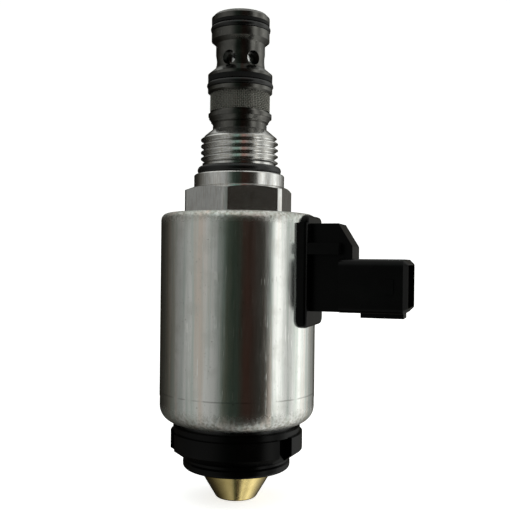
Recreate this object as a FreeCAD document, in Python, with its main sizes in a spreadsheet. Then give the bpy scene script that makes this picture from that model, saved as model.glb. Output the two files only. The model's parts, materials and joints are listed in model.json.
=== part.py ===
import FreeCAD, Part
import os
import re
import Sketcher

# A solenoid-operated spool cartridge valve with its coil, connector, coil nut and manual override.
# The frame's origin is on the valve's axis at the seat plane, where the collar meets the manifold.
# +Z runs along the axis towards the nose that enters the cavity. The connector points along +X.

os.makedirs("parts", exist_ok=True)
doc = FreeCAD.newDocument("cartridge_valve")

# Driving dimensions in millimetres and degrees.
SIZES = {
    # gaps between neighbours
    "fit_gap": 0.02,
    "running_gap": 0.06,
    "swivel_gap": 0.1,
    "body_gap": 0.3,
    # adapter
    "thread_diameter": 22.225,
    "thread_pitch": 1.8143,
    "thread_depth": 1.06,
    "thread_runout": 2.3,
    "adapter_height": 12.9,
    "adapter_top_radius": 7.95,
    "lead_in_drop": 0.42,
    "relief_height": 3.1,
    "collar_radius": 12.95,
    "collar_height": 3.8,
    "edge_break": 0.3,
    "hex_flats": 28.0,
    "hex_height": 7.1,
    "hex_turned_radius": 15.7,
    "hex_top_radius": 13.6,
    "hex_chamfer": 0.8,
    "hex_clocking": 4.2,
    # boss O-ring
    "boss_ring_section": 2.46,
    "boss_ring_seat": 9.55,
    # cage
    "cage_clocking": -9.0,
    "spigot_radius": 7.0,
    "spigot_length": 8.9,
    "neck_two_radius": 7.75,
    "neck_two_length": 1.7,
    "ring_lip_radius": 8.9,
    "ring_foot_radius": 8.25,
    "ring_foot_length": 1.7,
    "ring_seat_radius": 7.95,
    "screen_ring_height": 1.1,
    "screen_ring_radius": 9.15,
    "screen_gap": 0.7,
    "screen_length": 5.1,
    "screen_seat_radius": 8.2,
    "screen_thickness": 0.43,
    "screen_chamber_radius": 7.5,
    "screen_land": 0.8,
    "screen_hole_radius": 1.3,
    "land_two_radius": 9.28,
    "land_two_length": 7.4,
    "land_two_foot": 0.5,
    "land_two_foot_radius": 8.65,
    "land_two_shoulder": 1.9,
    "groove_two_offset": 1.5,
    "groove_two_width": 3.2,
    "groove_two_radius": 7.8,
    "groove_two_section": 1.74,
    "neck_one_radius": 7.05,
    "neck_one_length": 6.8,
    "port_hole_radius": 2.0,
    "port_hole_offset": 2.0,
    "port_hole_sink": 0.25,
    "land_one_radius": 8.35,
    "land_one_length": 8.45,
    "land_one_foot": 1.1,
    "groove_one_offset": 3.5,
    "groove_one_width": 2.7,
    "groove_one_radius": 6.85,
    "groove_one_section": 1.74,
    "tip_chamfer": 0.85,
    "cage_bore_radius": 4.5,
    "nose_recess_radius": 5.2,
    "nose_recess_depth": 3.6,
    "circlip_groove_depth": 0.45,
    "circlip_offset": 0.75,
    "circlip_thickness": 0.8,
    "circlip_width": 1.05,
    # spool and spring
    "stroke": 2.5,
    "spool_gap": 0.02,
    "spool_foot_rise": 0.5,
    "spool_head_offset": 7.35,
    "waist_radius": 3.2,
    "waist_underlap": 0.6,
    "waist_foot": 16.8,
    "spring_pocket_radius": 3.75,
    "spring_pocket_depth": 2.9,
    "spool_hollow_radius": 2.4,
    "spool_hollow_depth": 4.1,
    "cross_hole_radius": 0.9,
    "cross_hole_rise": 0.9,
    "balance_groove_depth": 0.25,
    "balance_groove_width": 0.4,
    "spring_radius": 3.2,
    "spring_wire": 0.7,
    "spring_pitch": 1.45,
    "seat_ring_thickness": 1.0,
    "seat_ring_bore": 2.5,
    # magnetic core
    "socket_depth": 8.2,
    "tube_radius": 9.5,
    "tube_wall": 1.2,
    "chamber_radius": 5.2,
    "pole_length": 27.6,
    "pin_radius": 1.25,
    "pin_grip": 6.0,
    "armature_length": 28.0,
    "armature_gap": 0.1,
    "armature_vent_width": 1.6,
    "armature_vent_depth": 1.2,
    "bush_length": 2.5,
    "bush_depth": 0.7,
    "bush_inset": 3.0,
    "flux_ring_overlap": 2.2,
    "flux_ring_length": 6.0,
    "tube_seal_section": 1.5,
    "tube_seal_drop": 2.6,
    "tube_seal_groove_width": 1.7,
    # coil
    "can_radius": 22.2,
    "can_length": 58.9,
    "can_wall": 1.6,
    "can_floor": 2.0,
    "can_lip": 1.2,
    "can_lip_width": 3.7,
    "can_top_round": 2.0,
    "can_bottom_round": 4.5,
    "can_inner_round": 2.5,
    "can_step_drop": 51.6,
    "can_step": 0.08,
    "top_plate_thickness": 3.0,
    "bottom_plate_thickness": 3.0,
    "bottom_plate_gap": 2.6,
    "coil_seal_section": 1.5,
    "coil_seal_recess": 1.55,
    "coil_seal_width": 2.2,
    "bobbin_clearance": 0.25,
    "bobbin_wall": 1.15,
    "bobbin_flange": 1.3,
    "flange_gap": 0.3,
    "winding_gap": 1.4,
    # connector housing
    "saddle_depth": 0.55,
    "saddle_half_width": 10.0,
    "saddle_top_rise": -0.6,
    "saddle_height": 30.75,
    "saddle_round": 2.2,
    "saddle_edge_round": 1.0,
    "tower_drop": 2.9,
    "tower_head_depth": 8.05,
    "tower_depth": 11.9,
    "tower_half_width": 5.35,
    "tower_slope": 6.2,
    "roof_drop": 8.3,
    "roof_height": 3.1,
    "roof_half_width": 9.5,
    "shroud_back_depth": 8.9,
    "brow_half_width": 8.4,
    "shroud_centre_drop": 19.7,
    "shroud_width": 19.0,
    "shroud_height": 14.4,
    "mouth_depth": 27.0,
    "shroud_wall": 1.5,
    "shroud_round": 2.2,
    "mouth_chamfer": 1.2,
    "shroud_floor_depth": 14.4,
    "nub_depth": 22.2,
    "nub_length": 2.4,
    "nub_height": 3.9,
    "nub_rise": 0.5,
    "key_start_depth": 13.9,
    "key_end_depth": 25.4,
    "key_height": 1.5,
    "key_width": 7.0,
    "window_half_width": 6.5,
    "window_drop": 6.2,
    "window_height": 19.0,
    "blade_width": 2.8,
    "blade_thickness": 0.8,
    "blade_spacing": 5.0,
    "blade_tip_depth": 23.3,
    "blade_root_depth": -1.4,
    # tube end, nut and override
    "plug_grip": 5.0,
    "plug_flange": 2.4,
    "stud_radius": 8.0,
    "override_pin_radius": 1.5,
    "override_seal_section": 1.4,
    "override_seal_inset": 3.0,
    "override_seal_width": 1.6,
    "washer_thickness": 0.9,
    "washer_radius": 16.8,
    "nut_rim_radius": 18.2,
    "nut_rim_height": 1.6,
    "nut_radius": 18.9,
    "nut_lobe_height": 6.35,
    "nut_lobe_chamfer": 2.4,
    "nut_neck_radius": 14.9,
    "nut_neck_length": 0.9,
    "nut_disc_radius": 15.35,
    "nut_disc_height": 2.4,
    "nut_disc_round": 1.0,
    "notch_floor_radius": 16.0,
    "notch_width": 5.0,
    "nut_clocking": -25.5,
    "nut_cavity_radius": 12.0,
    "retainer_radius": 12.7,
    "retainer_height": 0.75,
    "button_radius": 10.9,
    "button_flange": 11.7,
    "button_flange_height": 1.25,
    "button_shank": 1.15,
    "button_cone_length": 8.65,
    "button_tip_radius": 5.7,
    "button_round": 1.0,
    "button_grip": 3.0,
}

# Heights along the axis, each worked out from the sizes above.
STATIONS = {
    "thread_radius": "thread_diameter / 2",
    "relief_radius": "thread_diameter / 2 - thread_depth",
    "cage_foot": "adapter_height - spigot_length",
    "neck_two_top": "adapter_height + neck_two_length",
    "screen_ring_foot": "neck_two_top + ring_foot_length",
    "screen_ring_top": "screen_ring_foot + screen_ring_height",
    "screen_foot": "screen_ring_top + screen_gap",
    "screen_top": "screen_foot + screen_length",
    "groove_two_foot": "screen_top + groove_two_offset",
    "groove_two_top": "groove_two_foot + groove_two_width",
    "land_two_top": "screen_top + land_two_length",
    "land_one_bottom": "land_two_top + neck_one_length",
    "port_hole_centre": "land_two_top + port_hole_offset",
    "groove_one_foot": "land_one_bottom + groove_one_offset",
    "groove_one_top": "groove_one_foot + groove_one_width",
    "tip": "land_one_bottom + land_one_length",
    "circlip_top": "tip - circlip_offset",
    "circlip_foot": "circlip_top - circlip_thickness",
    "seat_ring_foot": "circlip_foot - fit_gap - seat_ring_thickness",
    "spool_foot": "cage_foot + spool_foot_rise",
    "spool_head": "tip - spool_head_offset",
    "spring_foot": "spool_head - spring_pocket_depth",
    "waist_top": "port_hole_centre - port_hole_radius - waist_underlap",
    "hex_top": "0 - collar_height",
    "hex_bottom": "hex_top - hex_height",
    "socket_roof": "hex_bottom + socket_depth",
    "pole_top": "socket_roof - fit_gap",
    "pole_face": "pole_top - pole_length",
    "armature_top": "pole_face - stroke - body_gap",
    "armature_foot": "armature_top - armature_length",
    "tube_inner": "tube_radius - tube_wall",
    "flux_ring_top": "pole_face + flux_ring_overlap",
    "flux_ring_foot": "flux_ring_top - flux_ring_length",
    "coil_bore": "tube_radius + swivel_gap",
    "can_top": "hex_bottom - body_gap",
    "can_bottom": "can_top - can_length",
    "can_inner": "can_radius - can_wall",
    "saddle_face": "can_radius + saddle_depth",
    "tower_reach": "can_radius + tower_depth",
    "tower_head_reach": "can_radius + tower_head_depth",
    "shroud_back": "can_radius + shroud_back_depth",
    "shroud_mouth": "can_radius + mouth_depth",
    "shroud_floor": "can_radius + shroud_floor_depth",
    "nub_centre": "can_radius + nub_depth",
    "key_start": "can_radius + key_start_depth",
    "key_end": "can_radius + key_end_depth",
    "blade_tip": "can_radius + blade_tip_depth",
    "blade_root": "can_radius + blade_root_depth",
    "bobbin_flange_radius": "can_inner - flange_gap",
    "winding_radius": "can_inner - winding_gap",
    "bottom_plate_radius": "can_inner - bottom_plate_gap",
    "top_plate_foot": "can_top - can_lip - top_plate_thickness",
    "bottom_plate_foot": "can_bottom + can_floor + fit_gap",
    "bottom_plate_top": "bottom_plate_foot + bottom_plate_thickness",
    "bobbin_top": "top_plate_foot - fit_gap",
    "bobbin_foot": "bottom_plate_top + fit_gap",
    "shroud_centre": "can_top - shroud_centre_drop",
    "shroud_top": "shroud_centre + shroud_height / 2",
    "shroud_bottom": "shroud_centre - shroud_height / 2",
    "saddle_top": "can_top + saddle_top_rise",
    "saddle_bottom": "saddle_top - saddle_height",
    "tower_top": "can_top - tower_drop",
    "roof_top": "can_top - roof_drop",
    "roof_foot": "roof_top - roof_height",
    "plug_top": "armature_foot - body_gap - fit_gap",
    "tube_end": "plug_top - plug_grip",
    "plug_flange_foot": "tube_end - plug_flange",
    "washer_top": "can_bottom - body_gap",
    "washer_foot": "washer_top - washer_thickness",
    "nut_top": "washer_foot - running_gap",
    "lobe_foot": "nut_top - nut_lobe_height - nut_lobe_chamfer",
    "disc_top": "lobe_foot - nut_neck_length",
    "nut_bottom": "disc_top - nut_disc_height",
    "retainer_top": "nut_bottom + retainer_height",
    "button_flange_foot": "retainer_top + body_gap",
    "button_top": "button_flange_foot + button_flange_height",
    "nut_roof": "button_top + stroke + body_gap + fit_gap",
    "stud_end": "nut_roof + body_gap",
    "button_cone_top": "button_flange_foot - button_shank",
    "button_end": "button_cone_top - button_cone_length",
}

SCREEN_HOLES = 6
PORT_HOLES = 6
CROSS_HOLES = 4
NUT_NOTCHES = 3
VENTS = 4
SPLIT_RING_ANGLE = 338.0
CIRCLIP_ANGLE = 300.0


def make_sheet(name, cells):
    sheet = doc.addObject("Spreadsheet::Sheet", name)
    for row, (alias, content) in enumerate(cells.items(), start=1):
        sheet.set(f"A{row}", alias)
        sheet.set(f"B{row}", content)
        sheet.setAlias(f"B{row}", alias)
    doc.recompute()
    return sheet


def resolve(formula):
    """Point the names in a formula at the sheet that holds each of them."""
    def qualify(match):
        word = match.group(0)
        if word in SIZES:
            return "Sizes." + word
        if word in STATIONS:
            return "Stations." + word
        return word
    return re.sub(r"[a-z]\w*", qualify, formula)


make_sheet("Sizes", {alias: str(number) for alias, number in SIZES.items()})
stations = make_sheet("Stations", {alias: "=" + resolve(text) for alias, text in STATIONS.items()})
SUBPARTS = []


def value(formula):
    return float(stations.evalExpression(resolve(formula)))


def bind(item, path, formula):
    item.setExpression(path, resolve(formula))


def new_body(name):
    body = doc.addObject("PartDesign::Body", name)
    body.Label = name
    SUBPARTS.append(body)
    return body


def attach(body, name, plane, offset=None):
    """A new sketch on one of the body's own origin planes, moved off it along the plane's normal."""
    sketch = body.newObject("Sketcher::SketchObject", name)
    planes = {feature.Role: feature for feature in body.Origin.OriginFeatures}
    sketch.AttachmentSupport = [(planes[plane], "")]
    sketch.MapMode = "FlatFace"
    if offset:
        bind(sketch, "AttachmentOffset.Base.z", offset)
    return sketch


def draw_outline(sketch, corners):
    """A closed outline whose corners are held by the sheet. Each corner is a pair of formulas."""
    points = [FreeCAD.Vector(value(across), value(up), 0) for across, up in corners]
    first = sketch.GeometryCount
    total = len(points)
    for index, point in enumerate(points):
        sketch.addGeometry(Part.LineSegment(point, points[(index + 1) % total]))
    for index, (across, up) in enumerate(corners):
        here = first + index
        after = first + (index + 1) % total
        sketch.addConstraint(Sketcher.Constraint("Coincident", here, 2, after, 1))
        held = (("DistanceX", across, points[index].x), ("DistanceY", up, points[index].y))
        for kind, formula, distance in held:
            number = sketch.addConstraint(Sketcher.Constraint(kind, -1, 1, here, 1, distance))
            bind(sketch, f"Constraints[{number}]", formula)


def draw_circle(sketch, radius, across="0", up="0"):
    centre = FreeCAD.Vector(value(across), value(up), 0)
    index = sketch.addGeometry(Part.Circle(centre, FreeCAD.Vector(0, 0, 1), value(radius)))
    number = sketch.addConstraint(Sketcher.Constraint("Radius", index, value(radius)))
    bind(sketch, f"Constraints[{number}]", radius)
    for kind, formula, distance in (("DistanceX", across, centre.x), ("DistanceY", up, centre.y)):
        number = sketch.addConstraint(Sketcher.Constraint(kind, -1, 1, index, 3, distance))
        bind(sketch, f"Constraints[{number}]", formula)


def box_corners(left, right, low, high):
    return [(left, low), (right, low), (right, high), (left, high)]


def revolve(body, name, corners, kind="PartDesign::Revolution"):
    sketch = attach(body, name + "_outline", "XZ_Plane")
    draw_outline(sketch, corners)
    feature = body.newObject(kind, name)
    feature.Profile = sketch
    feature.ReferenceAxis = (sketch, ["V_Axis"])
    feature.Angle = 360
    doc.recompute()
    return feature


def pad(body, name, sketch, length, both_sides=False):
    feature = body.newObject("PartDesign::Pad", name)
    feature.Profile = sketch
    feature.Midplane = both_sides
    bind(feature, "Length", length)
    doc.recompute()
    return feature


def pocket(body, name, sketch, length, both_sides=False, reverse=False):
    """A pocket that must take material away: it stops the build if it cuts nothing."""
    before = body.Shape.Volume
    feature = body.newObject("PartDesign::Pocket", name)
    feature.Profile = sketch
    feature.Midplane = both_sides
    feature.Reversed = reverse
    bind(feature, "Length", length)
    doc.recompute()
    if not body.Shape.Volume < before:
        raise RuntimeError(name + " cuts nothing")
    return feature


def repeat_round(body, name, feature, sketch, count, axis="V_Axis"):
    """Repeat a feature round the body's Z axis."""
    pattern = body.newObject("PartDesign::PolarPattern", name)
    pattern.Originals = [feature]
    pattern.Axis = (sketch, [axis])
    pattern.Angle = 360
    pattern.Occurrences = count
    body.Tip = pattern
    doc.recompute()
    return pattern


def pick_edges(shape, chosen):
    return [f"Edge{number}" for number, edge in enumerate(shape.Edges, start=1) if chosen(edge)]


def at_circle(radius, height):
    """A test for the circular edge with this radius at this height."""
    wanted_radius = value(radius)
    wanted_height = value(height)

    def chosen(edge):
        if not isinstance(edge.Curve, Part.Circle):
            return False
        same_height = abs(edge.Curve.Center.z - wanted_height) < 1e-3
        return same_height and abs(edge.Curve.Radius - wanted_radius) < 1e-3
    return chosen


def round_off(body, name, size, chosen):
    base = body.Tip
    feature = body.newObject("PartDesign::Fillet", name)
    feature.Base = (base, pick_edges(base.Shape, chosen))
    bind(feature, "Radius", size)
    doc.recompute()
    return feature


def turned(name, corners, clocking=None):
    """A body of revolution about Z from (radius, height) corners."""
    body = new_body(name)
    revolve(body, name + "_turn", corners)
    if clocking:
        bind(body, "Placement.Rotation.Angle", clocking)
    return body


def cut_ring(name, inner, outer, foot, height, angle=360.0, turn=0.0):
    """A flat ring, or a split one when the angle is under a full turn."""
    disc = doc.addObject("Part::Cylinder", name + "_disc")
    bind(disc, "Radius", outer)
    bind(disc, "Height", height)
    disc.Angle = angle
    hole = doc.addObject("Part::Cylinder", name + "_hole")
    bind(hole, "Radius", inner)
    bind(hole, "Height", height)
    ring = doc.addObject("Part::Cut", name)
    ring.Base = disc
    ring.Tool = hole
    ring.Label = name
    ring.Placement.Rotation = FreeCAD.Rotation(FreeCAD.Vector(0, 0, 1), turn)
    bind(ring, "Placement.Base.z", foot)
    SUBPARTS.append(ring)
    return ring


def o_ring(name, floor_radius, section, centre):
    """A round-section seal that sits on a groove floor of the given radius."""
    seal = doc.addObject("Part::Torus", name)
    seal.Label = name
    bind(seal, "Radius1", f"{floor_radius} + fit_gap + ({section}) / 2")
    bind(seal, "Radius2", f"({section}) / 2")
    bind(seal, "Placement.Base.z", centre)
    SUBPARTS.append(seal)
    return seal


def make_valve_cage():
    """The hardened sleeve: spigot, screen seat, two sealed lands, cross holes and the nose recess."""
    body = turned("valve_cage", [
        ("cage_bore_radius", "cage_foot"),
        ("spigot_radius", "cage_foot"),
        ("spigot_radius", "adapter_height"),
        ("neck_two_radius", "adapter_height + fit_gap"),
        ("neck_two_radius", "neck_two_top"),
        ("ring_foot_radius", "neck_two_top + (ring_foot_radius - neck_two_radius) * 0.8"),
        ("ring_foot_radius", "screen_ring_foot - (ring_lip_radius - ring_foot_radius) * 1.6"),
        ("ring_lip_radius", "screen_ring_foot - fit_gap"),
        ("ring_seat_radius", "screen_ring_foot - fit_gap"),
        ("ring_seat_radius", "screen_ring_top + fit_gap"),
        ("ring_foot_radius - fit_gap * 5", "screen_ring_top + fit_gap"),
        ("screen_seat_radius", "screen_foot"),
        ("screen_seat_radius", "screen_foot + screen_land"),
        ("screen_chamber_radius", "screen_foot + screen_land"),
        ("screen_chamber_radius", "screen_top - screen_land"),
        ("screen_seat_radius", "screen_top - screen_land"),
        ("screen_seat_radius", "screen_top"),
        ("land_two_foot_radius", "screen_top"),
        ("land_two_radius", "screen_top + land_two_foot"),
        ("land_two_radius", "groove_two_foot"),
        ("groove_two_radius", "groove_two_foot"),
        ("groove_two_radius", "groove_two_top"),
        ("land_two_radius", "groove_two_top"),
        ("land_two_radius", "land_two_top - land_two_shoulder"),
        ("neck_one_radius", "land_two_top"),
        ("neck_one_radius", "land_one_bottom"),
        ("land_one_radius", "land_one_bottom + land_one_foot"),
        ("land_one_radius", "groove_one_foot"),
        ("groove_one_radius", "groove_one_foot"),
        ("groove_one_radius", "groove_one_top"),
        ("land_one_radius", "groove_one_top"),
        ("land_one_radius", "tip - tip_chamfer"),
        ("land_one_radius - tip_chamfer", "tip"),
        ("nose_recess_radius", "tip"),
        ("nose_recess_radius", "circlip_top"),
        ("nose_recess_radius + circlip_groove_depth", "circlip_top"),
        ("nose_recess_radius + circlip_groove_depth", "circlip_foot"),
        ("nose_recess_radius", "circlip_foot"),
        ("nose_recess_radius", "tip - nose_recess_depth"),
        ("cage_bore_radius", "tip - nose_recess_depth"),
    ], clocking="cage_clocking")
    ports = attach(body, "port_hole_circle", "XZ_Plane")
    draw_circle(ports, "port_hole_radius", up="port_hole_centre")
    hole = pocket(body, "port_hole", ports, "land_one_radius")
    repeat_round(body, "port_holes", hole, ports, PORT_HOLES)
    sinks = attach(body, "port_sink_circle", "XZ_Plane", "0 - neck_one_radius + port_hole_sink")
    draw_circle(sinks, "port_hole_radius + port_hole_sink", up="port_hole_centre")
    sink_length = "land_one_radius - neck_one_radius + port_hole_sink"
    sink = pocket(body, "port_sink", sinks, sink_length, reverse=True)
    repeat_round(body, "port_sinks", sink, sinks, PORT_HOLES)
    inlets = attach(body, "screen_hole_circle", "YZ_Plane")
    draw_circle(inlets, "screen_hole_radius", up="(screen_foot + screen_top) / 2")
    inlet = pocket(body, "screen_hole", inlets, "screen_seat_radius", reverse=True)
    repeat_round(body, "screen_holes", inlet, inlets, SCREEN_HOLES)


def make_cage_fittings():
    """The seals, the filter screen and the two snap rings carried by the cage."""
    cut_ring("screen_retaining_ring", "ring_seat_radius + fit_gap", "screen_ring_radius",
             "screen_ring_foot", "screen_ring_height", SPLIT_RING_ANGLE, turn=-151.5)
    cut_ring("filter_screen", "screen_seat_radius + fit_gap",
             "screen_seat_radius + fit_gap + screen_thickness",
             "screen_foot + fit_gap", "screen_length - 2 * fit_gap")
    o_ring("middle_o_ring", "groove_two_radius", "groove_two_section",
           "groove_two_foot + fit_gap + groove_two_section / 2")
    cut_ring("middle_backup_ring", "groove_two_radius + fit_gap", "land_two_radius - fit_gap",
             "groove_two_foot + 2 * fit_gap + groove_two_section",
             "groove_two_width - groove_two_section - 3 * fit_gap")
    o_ring("nose_o_ring", "groove_one_radius", "groove_one_section",
           "groove_one_foot + fit_gap + groove_one_section / 2")
    cut_ring("nose_backup_ring", "groove_one_radius + fit_gap", "land_one_radius - fit_gap",
             "groove_one_foot + 2 * fit_gap + groove_one_section",
             "groove_one_width - groove_one_section - 3 * fit_gap")
    cut_ring("nose_circlip", "nose_recess_radius + circlip_groove_depth - fit_gap - circlip_width",
             "nose_recess_radius + circlip_groove_depth - fit_gap", "circlip_foot + fit_gap",
             "circlip_thickness - 2 * fit_gap", CIRCLIP_ANGLE, turn=30.0)
    cut_ring("spring_seat", "seat_ring_bore", "nose_recess_radius - running_gap", "seat_ring_foot",
             "seat_ring_thickness")


def make_adapter_body():
    """The plated adapter: spigot bore, cavity thread, seat collar, hexagon and tube socket."""
    seal_bore = "tube_radius + tube_seal_section + 2 * fit_gap"
    seal_top = "socket_roof - tube_seal_drop"
    seal_foot = f"{seal_top} - tube_seal_groove_width"
    body = turned("adapter_body", [
        ("spigot_radius + fit_gap", "adapter_height"),
        ("spigot_radius + fit_gap", "cage_foot - fit_gap"),
        ("chamber_radius", "cage_foot - fit_gap"),
        ("chamber_radius", "socket_roof"),
        ("tube_radius + fit_gap", "socket_roof"),
        ("tube_radius + fit_gap", seal_top),
        (seal_bore, seal_top),
        (seal_bore, seal_foot),
        ("tube_radius + fit_gap", seal_foot),
        ("tube_radius + fit_gap", "hex_bottom"),
        ("hex_turned_radius", "hex_bottom"),
        ("hex_turned_radius", "hex_top - hex_chamfer"),
        ("hex_top_radius", "hex_top"),
        ("collar_radius - edge_break", "hex_top"),
        ("collar_radius", "hex_top + edge_break"),
        ("collar_radius", "0 - edge_break"),
        ("collar_radius - edge_break", "0"),
        ("boss_ring_seat", "0"),
        ("boss_ring_seat", "boss_ring_section + fit_gap"),
        ("relief_radius", "boss_ring_section + fit_gap"),
        ("relief_radius", "relief_height"),
        ("thread_radius - lead_in_drop", "relief_height"),
        ("thread_radius", "relief_height + lead_in_drop"),
        ("thread_radius", "adapter_height - thread_runout - lead_in_drop"),
        ("thread_radius - lead_in_drop", "adapter_height - thread_runout"),
        ("adapter_top_radius", "adapter_height"),
    ], clocking="hex_clocking")
    flats = attach(body, "hexagon", "XY_Plane", "hex_top")
    corner = "hex_flats / 2 / cos(30)"
    bearings = [60 * side + 30 for side in range(6)]
    corners = [(f"{corner} * cos({bearing})", f"{corner} * sin({bearing})") for bearing in bearings]
    draw_outline(flats, corners)
    draw_circle(flats, "hex_turned_radius * 1.2")
    pocket(body, "wrench_flats", flats, "hex_height + fit_gap")
    groove = attach(body, "thread_groove", "XZ_Plane")
    middle = "relief_height - thread_pitch / 4"
    draw_outline(groove, [
        ("relief_radius", f"{middle} - thread_pitch / 16"),
        ("thread_radius + running_gap", f"{middle} - thread_pitch * 0.46"),
        ("thread_radius + running_gap", f"{middle} + thread_pitch * 0.46"),
        ("relief_radius", f"{middle} + thread_pitch / 16"),
    ])
    helix = body.newObject("PartDesign::SubtractiveHelix", "cavity_thread")
    helix.Profile = groove
    helix.ReferenceAxis = (groove, ["V_Axis"])
    helix.Mode = 0
    bind(helix, "Pitch", "thread_pitch")
    bind(helix, "Height", "adapter_height - relief_height")
    doc.recompute()
    o_ring("boss_o_ring", "boss_ring_seat", "boss_ring_section - fit_gap",
           "boss_ring_section / 2 + fit_gap / 2")


def make_spool():
    """The sliding spool: a long land, the waist that joins the side ports and a hollow head."""
    def groove(height):
        edge = "cage_bore_radius - spool_gap"
        floor = f"{edge} - balance_groove_depth"
        return [
            (edge, f"{height} - balance_groove_width / 2"),
            (floor, f"{height} - balance_groove_width / 2"),
            (floor, f"{height} + balance_groove_width / 2"),
            (edge, f"{height} + balance_groove_width / 2"),
        ]
    land = "waist_foot - spool_foot"
    body = turned("spool", [
        ("0", "spool_foot"),
        ("cage_bore_radius - spool_gap - edge_break", "spool_foot"),
        ("cage_bore_radius - spool_gap", "spool_foot + edge_break"),
        *groove(f"spool_foot + ({land}) / 3"),
        *groove(f"spool_foot + ({land}) * 2 / 3"),
        ("cage_bore_radius - spool_gap", "waist_foot"),
        ("waist_radius", "waist_foot"),
        ("waist_radius", "waist_top"),
        ("cage_bore_radius - spool_gap", "waist_top"),
        ("cage_bore_radius - spool_gap", "spool_head"),
        ("spring_pocket_radius", "spool_head"),
        ("spring_pocket_radius", "spring_foot"),
        ("spool_hollow_radius", "spring_foot"),
        ("spool_hollow_radius", "spring_foot - spool_hollow_depth"),
        ("0", "spring_foot - spool_hollow_depth"),
    ])
    crossing = attach(body, "cross_hole_circle", "XZ_Plane")
    draw_circle(crossing, "cross_hole_radius", up="port_hole_centre + cross_hole_rise")
    hole = pocket(body, "cross_hole", crossing, "cage_bore_radius")
    repeat_round(body, "cross_holes", hole, crossing, CROSS_HOLES)


def make_return_spring():
    """The compression spring between the spool's pocket and the seat ring."""
    path = doc.addObject("Part::Helix", "return_spring_path")
    bind(path, "Pitch", "spring_pitch")
    bind(path, "Height", "seat_ring_foot - spring_foot - spring_wire - 4 * fit_gap")
    bind(path, "Radius", "spring_radius")
    wire = doc.addObject("Part::Circle", "return_spring_wire")
    bind(wire, "Radius", "spring_wire / 2")
    bind(wire, "Placement.Base.x", "spring_radius")
    wire.Placement.Rotation = FreeCAD.Rotation(FreeCAD.Vector(1, 0, 0), 90)
    spring = doc.addObject("Part::Sweep", "return_spring")
    spring.Label = "return_spring"
    spring.Sections = [wire]
    spring.Spine = (path, ["Edge1"])
    spring.Solid = True
    spring.Frenet = True
    bind(spring, "Placement.Base.z", "spring_foot + spring_wire / 2 + 2 * fit_gap")
    SUBPARTS.append(spring)


def make_guide_tube():
    """The pressure tube in three pieces, the pole piece in its top and the plug in its end."""
    for name, top, foot in (
        ("tube_upper", "pole_top", "flux_ring_top"),
        ("tube_flux_ring", "flux_ring_top - fit_gap", "flux_ring_foot + fit_gap"),
        ("tube_lower", "flux_ring_foot", "tube_end"),
    ):
        cut_ring(name, "tube_inner", "tube_radius", foot, f"{top} - ({foot})")
    turned("pole_piece", [
        ("pin_radius + running_gap", "pole_face"),
        ("pin_radius * 2", "pole_face"),
        ("tube_inner - fit_gap - edge_break", "pole_face"),
        ("tube_inner - fit_gap", "pole_face + edge_break"),
        ("tube_inner - fit_gap", "pole_top"),
        ("pin_radius * 3", "pole_top"),
        ("pin_radius + running_gap", "pole_top - pin_radius * 1.5"),
    ])
    o_ring("tube_seal_ring", "tube_radius - fit_gap / 2", "tube_seal_section",
           "socket_roof - tube_seal_drop - tube_seal_groove_width / 2")
    bore = "override_pin_radius + running_gap"
    seal_top = "stud_end + override_seal_inset + override_seal_width"
    turned("tube_end_plug", [
        (bore, "plug_top"),
        ("tube_inner - fit_gap", "plug_top"),
        ("tube_inner - fit_gap", "tube_end - fit_gap"),
        ("tube_radius", "tube_end - fit_gap"),
        ("tube_radius", "plug_flange_foot"),
        ("stud_radius", "plug_flange_foot"),
        ("stud_radius", "stud_end + edge_break * 2"),
        ("stud_radius - edge_break * 2", "stud_end"),
        (bore, "stud_end"),
        (bore, "stud_end + override_seal_inset"),
        (f"{bore} + override_seal_section", "stud_end + override_seal_inset"),
        (f"{bore} + override_seal_section", seal_top),
        (bore, seal_top),
    ])
    o_ring("override_seal", "override_pin_radius + fit_gap", "override_seal_section - fit_gap * 2",
           "stud_end + override_seal_inset + override_seal_width / 2")


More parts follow.
